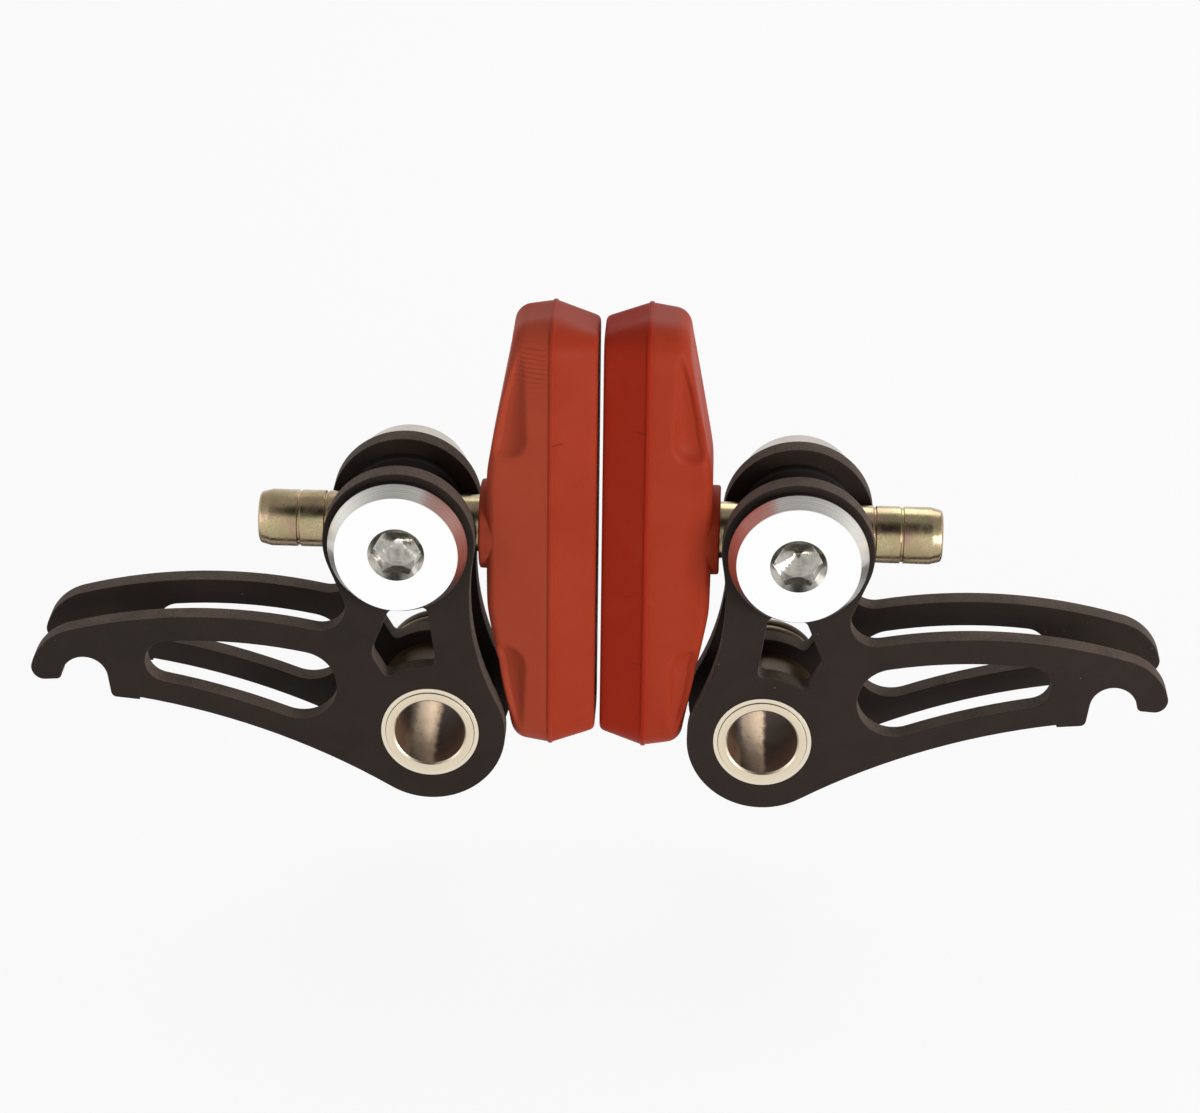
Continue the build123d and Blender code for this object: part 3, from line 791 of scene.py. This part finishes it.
    def scooped(self, inset, height, tilt):
        """A ring pressed inwards where a tapered scoop, round at both ends, has cut the flank."""
        place = self.ring(inset, height)
        along = np.abs(place[:, 1])
        start = np.where(place[:, 1] > 0, self.scoop_start_up, self.scoop_start_down)
        shoulder = start + self.scoop_half
        taper = np.clip((along - shoulder) / (self.scoop_end - shoulder), 0, 1)
        half = self.scoop_half + (self.scoop_half_tip - self.scoop_half) * taper
        depth = self.scoop_depth + (self.scoop_depth_tip - self.scoop_depth) * taper
        whole = (half**2 + depth**2) / (2 * depth)
        beyond = np.maximum(shoulder - along, 0) + np.maximum(along - self.scoop_end, 0)
        radius = np.sqrt(np.clip(whole**2 - beyond**2, 0, None))
        centre_height = self.scoop_edge + half
        centre_across = self.half_width - self.flank(centre_height) - depth + whole
        across = np.abs(place[:, 0]) - centre_across
        up = height - centre_height
        inside = radius - np.hypot(across, up)
        lean = across * math.cos(tilt) + up * math.sin(tilt)
        reach = lean**2 - across**2 - up**2 + radius**2
        press = np.clip(lean + np.sqrt(np.clip(reach, 0, None)), 0, None)
        share = np.clip(inside / self.scoop_lip, 0, 1)
        press = np.where(inside > 0, press * share * share * (3 - 2 * share), 0)
        return self.ring(inset + press * math.cos(tilt), height - press * math.sin(tilt))

    def rows(self):
        """For each row across the pad, the ring's points at its left and right ends."""
        ends = self.look.across
        count = len(self.base)
        steps = 2 * self.look.around + self.look.along
        return [((count - row) % count, ends + row) for row in range(1, steps)]

    def cap(self, points, faces, first, height_of):
        """Fills a ring with rows of faces across the pad."""
        ends = self.look.across
        steps = 2 * self.look.around + self.look.along
        lines = [[first + index for index in range(ends + 1)]]
        for left, right in self.rows():
            one = points[first + left]
            two = points[first + right]
            line = [first + left]
            for share in np.linspace(0, 1, ends + 1)[1:-1]:
                across, along = one[:2] + (two[:2] - one[:2]) * share
                line.append(len(points))
                points.append(np.array((across, along, height_of(along))))
            lines.append(line + [first + right])
        far = ends + steps
        lines.append([first + index for index in range(far + ends, far - 1, -1)])
        for low, high in zip(lines, lines[1:]):
            for index in range(ends):
                faces.append((low[index], low[index + 1], high[index + 1], high[index]))

    def mesh_data(self):
        """Points and faces of the moulded body."""
        rings = self.rings()
        count = len(self.base)
        points = [point for ring in rings for point in ring]
        faces = []
        for level in range(len(rings) - 1):
            low = level * count
            high = low + count
            for index in range(count):
                after = (index + 1) % count
                faces.append((low + index, low + after, high + after, high + index))
        self.cap(points, faces, 0, lambda along: 0.0)
        self.cap(points, faces, (len(rings) - 1) * count, self.back)
        return points, faces

    def boss_data(self, steps=96):
        """Points and faces of the round boss at the back, which the post leaves."""
        top = self.thickness + self.boss_height
        radius = self.boss_radius
        profile = [
            (radius, self.parting + self.boss_root),
            (radius, top - self.boss_round),
            (radius - self.boss_ease, top - self.boss_ease),
            (radius - self.boss_round, top),
        ]
        points = []
        for out, height in profile:
            for turn in np.linspace(0, 2 * math.pi, steps, endpoint=False):
                points.append((out * math.cos(turn), out * math.sin(turn), height))
        last = len(profile) - 1
        faces = [tuple(range(steps)), tuple(range(last * steps, (last + 1) * steps))]
        for level in range(last):
            for index in range(steps):
                after = (index + 1) % steps
                low = level * steps
                faces.append((low + index, low + after, low + steps + after, low + steps + index))
        return points, faces


def placed_mesh(name, data, side):
    """A mesh of the pad's form set against one side's friction face."""
    low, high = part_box(f"{side}_brake_pad")
    face = min(abs(low.x), abs(high.x))
    points, faces = data
    spot = np.array(points) * MM
    x = (spot[:, 2] + face) * SIDES[side]
    y = spot[:, 0] + (low.y + high.y) / 2
    z = spot[:, 1] + (low.z + high.z) / 2
    mesh = bpy.data.meshes.new(name)
    mesh.from_pydata(np.column_stack([x, y, z]).tolist(), [], faces)
    work = bmesh.new()
    work.from_mesh(mesh)
    bmesh.ops.recalc_face_normals(work, faces=work.faces)
    work.to_mesh(mesh)
    work.free()
    return mesh


def moulded_pad(form, side):
    """The pad's body, smoothed, with its boss joined on."""
    body = bpy.data.objects.new("pad_body", placed_mesh("pad_body", form.mesh_data(), side))
    boss = bpy.data.objects.new("pad_boss", placed_mesh("pad_boss", form.boss_data(), side))
    for piece in (body, boss):
        bpy.context.scene.collection.objects.link(piece)
    smooth = body.modifiers.new("smooth", "SUBSURF")
    smooth.levels = 1
    join = body.modifiers.new("join", "BOOLEAN")
    join.operation = "UNION"
    join.solver = "EXACT"
    join.object = boss
    bpy.context.view_layer.update()
    made = bpy.data.meshes.new_from_object(body.evaluated_get(bpy.context.evaluated_depsgraph_get()))
    for piece in (body, boss):
        shape = piece.data
        bpy.data.objects.remove(piece)
        bpy.data.meshes.remove(shape)
    made.name = f"{side}_pad_moulding"
    made.polygons.foreach_set("use_smooth", [True] * len(made.polygons))
    made.set_sharp_from_angle(angle=MOULD_ANGLE)
    return made


class BRAKE_OT_plates(Operator):
    """Finish the four black arm plates"""

    bl_idname = "brake.plates"
    bl_label = "Arm plates"

    def execute(self, context):
        look = context.scene.brake_plates
        material = anodised_plate(look)
        for side in SIDES:
            dress(f"{side}_front_plate", material, look.edge_round)
            dress(f"{side}_rear_plate", material, look.edge_round)
        return {"FINISHED"}


class BRAKE_OT_pivots(Operator):
    """Finish the pivot sleeves, bushes and spacers"""

    bl_idname = "brake.pivots"
    bl_label = "Pivots"

    def execute(self, context):
        look = context.scene.brake_metals
        nickel = turned_metal(
            "sleeve_nickel", look.nickel, 0.30, PIVOT, pitch=0.22, dull=0.85, wall=shade_and_grit_bore(look)
        )
        bush = turned_metal("bush_metal", look.bush, 0.32, PIVOT, pitch=0.15, dull=0.85)
        bronze = turned_metal("spacer_bronze", look.bronze, 0.42, PIVOT, pitch=0.30, bare=0.55)
        for side in SIDES:
            dress(f"{side}_pivot_sleeve", nickel, look.edge_round / 3)
            dress(f"{side}_pivot_spacer", bronze, look.edge_round)
            dress(f"{side}_front_bush", bush, look.edge_round / 4)
            dress(f"{side}_rear_bush", bush, look.edge_round / 4)
        return {"FINISHED"}


class BRAKE_OT_springs(Operator):
    """Finish the return springs"""

    bl_idname = "brake.springs"
    bl_label = "Return springs"

    def execute(self, context):
        look = context.scene.brake_metals
        material = spring_wire(look)
        for side in SIDES:
            dress(f"{side}_return_spring", material, look.edge_round)
        return {"FINISHED"}


class BRAKE_OT_clamps(Operator):
    """Finish the clamp bolts, eye bolts, cone nuts and washers"""

    bl_idname = "brake.clamps"
    bl_label = "Clamps"

    def execute(self, context):
        look = context.scene.brake_metals
        polish = polished_bolt(look)
        steel = turned_metal("eye_bolt_steel", look.steel, 0.30, CLAMP, pitch=0.30)
        satin = turned_metal("nut_satin", look.satin, 0.24, CLAMP, pitch=0.26, dull=0.85)
        washer = black_washer(look)
        for side in SIDES:
            dress(f"{side}_clamp_bolt", polish)
            dress(f"{side}_flange_washer", washer, look.edge_round)
            dress(f"{side}_eye_bolt", steel, look.edge_round)
            dress(f"{side}_rear_cone_nut", satin, look.edge_round)
            dress(f"{side}_front_saddle_washer", washer, look.edge_round)
            dress(f"{side}_rear_saddle_washer", washer, look.edge_round)
        return {"FINISHED"}


class BRAKE_OT_posts(Operator):
    """Finish the zinc-plated pad posts"""

    bl_idname = "brake.posts"
    bl_label = "Pad posts"

    def execute(self, context):
        look = context.scene.brake_metals
        material = zinc_plate(look)
        for side in SIDES:
            dress(f"{side}_pad_post", material, look.edge_round / 3)
        return {"FINISHED"}


class BRAKE_OT_pads(Operator):
    """Mould the red brake pads"""

    bl_idname = "brake.pads"
    bl_label = "Brake pads"

    def execute(self, context):
        look = context.scene.brake_pads
        material = pad_rubber(look)
        form = PadForm(look)
        for side in SIDES:
            mesh = moulded_pad(form, side)
            new_piece(
                f"{side}_pad_moulding", mesh, material, f"{side}_pad", f"{side}_brake_pad"
            )
        return {"FINISHED"}


def area_light(name, spot, target, size, power, colour):
    """A soft square light that looks at a target."""
    light = bpy.data.lights.new(name, "AREA")
    light.size = size
    light.energy = power
    light.color = colour
    lamp = bpy.data.objects.new(name, light)
    lamp.location = spot
    lamp.rotation_mode = "QUATERNION"
    lamp.rotation_quaternion = (target - Vector(spot)).to_track_quat("-Z", "Y")
    bpy.context.scene.collection.objects.link(lamp)


def seen_rays(tree):
    """One for rays that show a background: those of the camera, mirrors and glass."""
    path = tree.add("LightPath").outputs
    seen = tree.maths("MAXIMUM", path["Is Camera Ray"], path["Is Glossy Ray"])
    return tree.maths("MAXIMUM", seen, path["Is Transmission Ray"])


def white_floor(height):
    """A wide pale floor that shows white, keeps the brake's shadow and is clear from below."""
    mesh = bpy.data.meshes.new("floor")
    ways = ((-1, -1), (1, -1), (1, 1), (-1, 1))
    corners = [(x * FLOOR_REACH, y * FLOOR_REACH, height) for x, y in ways]
    mesh.from_pydata(corners, [], [(0, 1, 2, 3)])
    floor = bpy.data.objects.new("floor", mesh)
    bpy.context.scene.collection.objects.link(floor)
    material = bpy.data.materials.new("floor_white")
    material.use_nodes = True
    tree = Tree(material.node_tree)
    material.node_tree.nodes.remove(material.node_tree.nodes["Principled BSDF"])
    paper = tree.add("BsdfDiffuse", Color=FLOOR_PAPER)
    glow = tree.add("Emission", Color=WHITE, Strength=1.0)
    path = tree.add("LightPath").outputs
    mirrored = tree.maths("MAXIMUM", path["Is Glossy Ray"], path["Is Transmission Ray"])
    share = tree.maths("MAXIMUM", mirrored, tree.maths("MULTIPLY", path["Is Camera Ray"], FLOOR_GLOW))
    mix = tree.add("MixShader")
    tree.feed(mix.inputs[0], share)
    tree.feed(mix.inputs[1], paper.outputs[0])
    tree.feed(mix.inputs[2], glow.outputs[0])
    clear = tree.add("MixShader")
    tree.feed(clear.inputs[0], tree.add("NewGeometry").outputs["Backfacing"])
    tree.feed(clear.inputs[1], mix.outputs[0])
    tree.feed(clear.inputs[2], tree.add("BsdfTransparent").outputs[0])
    tree.feed(material.node_tree.nodes["Material Output"].inputs["Surface"], clear.outputs[0])
    mesh.materials.append(material)


def studio_world(look):
    """Soft light, most of it from above, and a white background with a dark patch above the camera."""
    world = bpy.data.worlds.new("studio")
    world.use_nodes = True
    tree = Tree(world.node_tree)
    way = tree.add("TexCoord").outputs["Generated"]
    up = tree.add("SeparateXYZ", Vector=way).outputs["Z"]
    level = math.cos(look.shade_height)
    front = (
        math.sin(look.azimuth) * level, -math.cos(look.azimuth) * level, math.sin(look.shade_height)
    )
    ahead = tree.add("VectorMath", {"operation": "DOT_PRODUCT"})
    tree.feed(ahead.inputs[0], way)
    tree.feed(ahead.inputs[1], front)
    dim = tree.span(ahead.outputs["Value"], 0.85, 0.97, 1.0, look.shade)
    mirrored = tree.maths("MULTIPLY", tree.span(up, 0.25, 0.95, 1.0, look.overhead), dim)
    path = tree.add("LightPath").outputs
    seen = tree.maths("MAXIMUM", path["Is Camera Ray"], path["Is Transmission Ray"])
    glossy = tree.maths("MULTIPLY", path["Is Glossy Ray"], mirrored)
    strength = tree.maths("MAXIMUM", seen, glossy)
    soft = tree.maths("MULTIPLY", tree.maths("SUBTRACT", 1.0, seen_rays(tree)), look.ambient)
    above = tree.span(up, -0.3, 0.9, 0.5, 1.6)
    unseen = tree.maths("MULTIPLY", tree.maths("MULTIPLY", soft, dim), above)
    background = world.node_tree.nodes["Background"]
    background.inputs["Color"].default_value = WHITE
    tree.feed(background.inputs["Strength"], tree.maths("ADD", strength, unseen))
    bpy.context.scene.world = world


def photo_camera(look):
    """The camera at the photograph's angle."""
    aim = Vector((0, PIVOT.y, look.aim_height))
    level = math.cos(look.elevation)
    back = Vector(
        (math.sin(look.azimuth) * level, -math.cos(look.azimuth) * level, math.sin(look.elevation))
    )
    data = bpy.data.cameras.new("photo_camera")
    data.lens = look.lens
    data.sensor_width = SENSOR_WIDTH
    data.clip_start = NEAREST_SEEN
    camera = bpy.data.objects.new("photo_camera", data)
    camera.location = aim + back * look.distance
    camera.rotation_mode = "QUATERNION"
    turn = (-back).to_track_quat("-Z", "Y")
    camera.rotation_quaternion = turn @ Quaternion((0, 0, 1), look.roll)
    bpy.context.scene.collection.objects.link(camera)
    bpy.context.scene.camera = camera
    return aim


class BRAKE_OT_stage(Operator):
    """Set the camera, lights, floor and surrounding light"""

    bl_idname = "brake.stage"
    bl_label = "Stage"

    def execute(self, context):
        look = context.scene.brake_stage
        context.scene.view_settings.view_transform = "Standard"
        aim = photo_camera(look)
        white_floor(CAD_BOX[0].z - look.floor_drop)
        studio_world(look)
        for name, (spot, size, colour) in LIGHTS.items():
            area_light(name, spot, aim, size, getattr(look, name), colour)
        return {"FINISHED"}


class BRAKE_PT_panel(Panel):
    """Lists the steps and what can be changed"""

    bl_label = "Cantilever brake"
    bl_space_type = "VIEW_3D"
    bl_region_type = "UI"
    bl_category = "Brake"

    def draw(self, context):
        for operator in OPERATORS:
            self.layout.operator(operator.bl_idname)
        for name in SETTINGS:
            group = getattr(context.scene, name)
            box = self.layout.box()
            box.label(text=SETTINGS[name].__doc__)
            for item in group.bl_rna.properties:
                if item.identifier in SETTINGS[name].__annotations__:
                    box.prop(group, item.identifier)


SETTINGS = {
    "brake_plates": PlateSettings,
    "brake_metals": MetalSettings,
    "brake_pads": PadSettings,
    "brake_stage": StageSettings,
}
OPERATORS = (
    BRAKE_OT_plates,
    BRAKE_OT_pivots,
    BRAKE_OT_springs,
    BRAKE_OT_clamps,
    BRAKE_OT_posts,
    BRAKE_OT_pads,
    BRAKE_OT_stage,
)


def register():
    """Adds the settings, operators and panel."""
    for kind in (*SETTINGS.values(), *OPERATORS, BRAKE_PT_panel):
        bpy.utils.register_class(kind)
    for name, kind in SETTINGS.items():
        setattr(bpy.types.Scene, name, PointerProperty(type=kind))


def unregister():
    """Takes them away again."""
    for name in SETTINGS:
        delattr(bpy.types.Scene, name)
    for kind in reversed((*SETTINGS.values(), *OPERATORS, BRAKE_PT_panel)):
        bpy.utils.unregister_class(kind)


def main():
    """Dresses the brake."""
    register()
    for operator in OPERATORS:
        group, name = operator.bl_idname.split(".")
        getattr(getattr(bpy.ops, group), name)()


if __name__ == "__main__":
    main()
